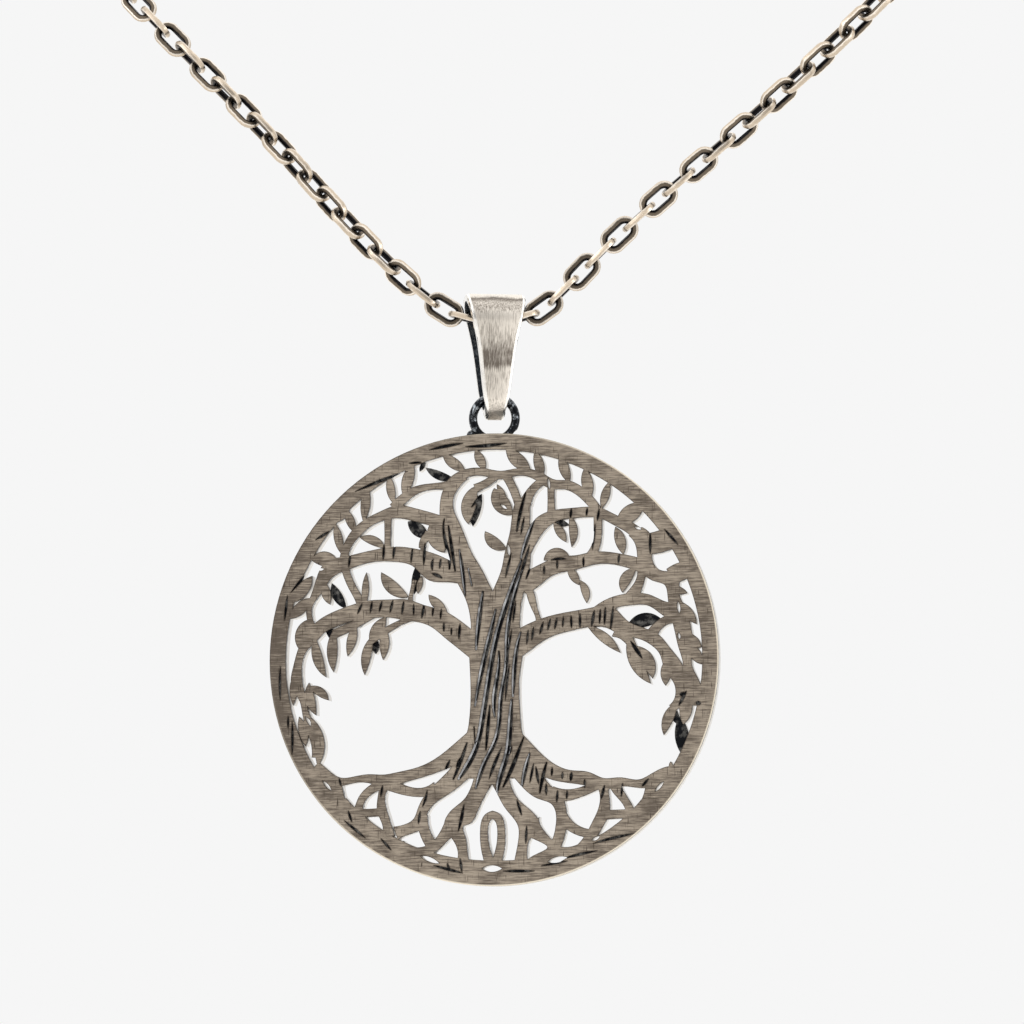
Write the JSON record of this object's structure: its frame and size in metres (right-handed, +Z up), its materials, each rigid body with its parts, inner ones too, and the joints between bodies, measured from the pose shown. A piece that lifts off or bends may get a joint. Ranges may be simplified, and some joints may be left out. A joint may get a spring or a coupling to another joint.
{
  "type": "tree of life pendant necklace",
  "caption": "Round pierced tree pendant on a tapering folded bail, hanging from a closed loop of long cable chain with a plain clasp at the nape.",
  "frame": {"origin": "middle of the clasp, where the necklace lies on the nape of the neck", "axes": "+Z up, -Y towards the wearer's front, the side that the tree faces, and +X to the right in a view from the front"},
  "size_m": [0.1277, 0.1167, 0.1576],
  "materials": {
    "brushed_silver": "brushed, darkened in the grooves",
    "chain_silver": "polished, slightly tarnished"
  },
  "bodies": {
    "chain": {"chain_links": "chain_silver", "clasp": "chain_silver"},
    "bail": {"bail": "brushed_silver"},
    "pendant": {"pendant_disc": "brushed_silver"}
  },
  "joints": [
    {"name": "bail_swing", "type": "hinge", "parent": "chain", "child": "bail", "pos_m": [0, -0.112, -0.106], "axis": [0.9613, 0.2756, 0], "range_deg": [-60, 60]},
    {"name": "pendant_swing", "type": "hinge", "parent": "bail", "child": "pendant", "pos_m": [0, -0.112, -0.11278], "axis": [0.9613, 0.2756, 0], "range_deg": [-45, 45]}
  ]
}
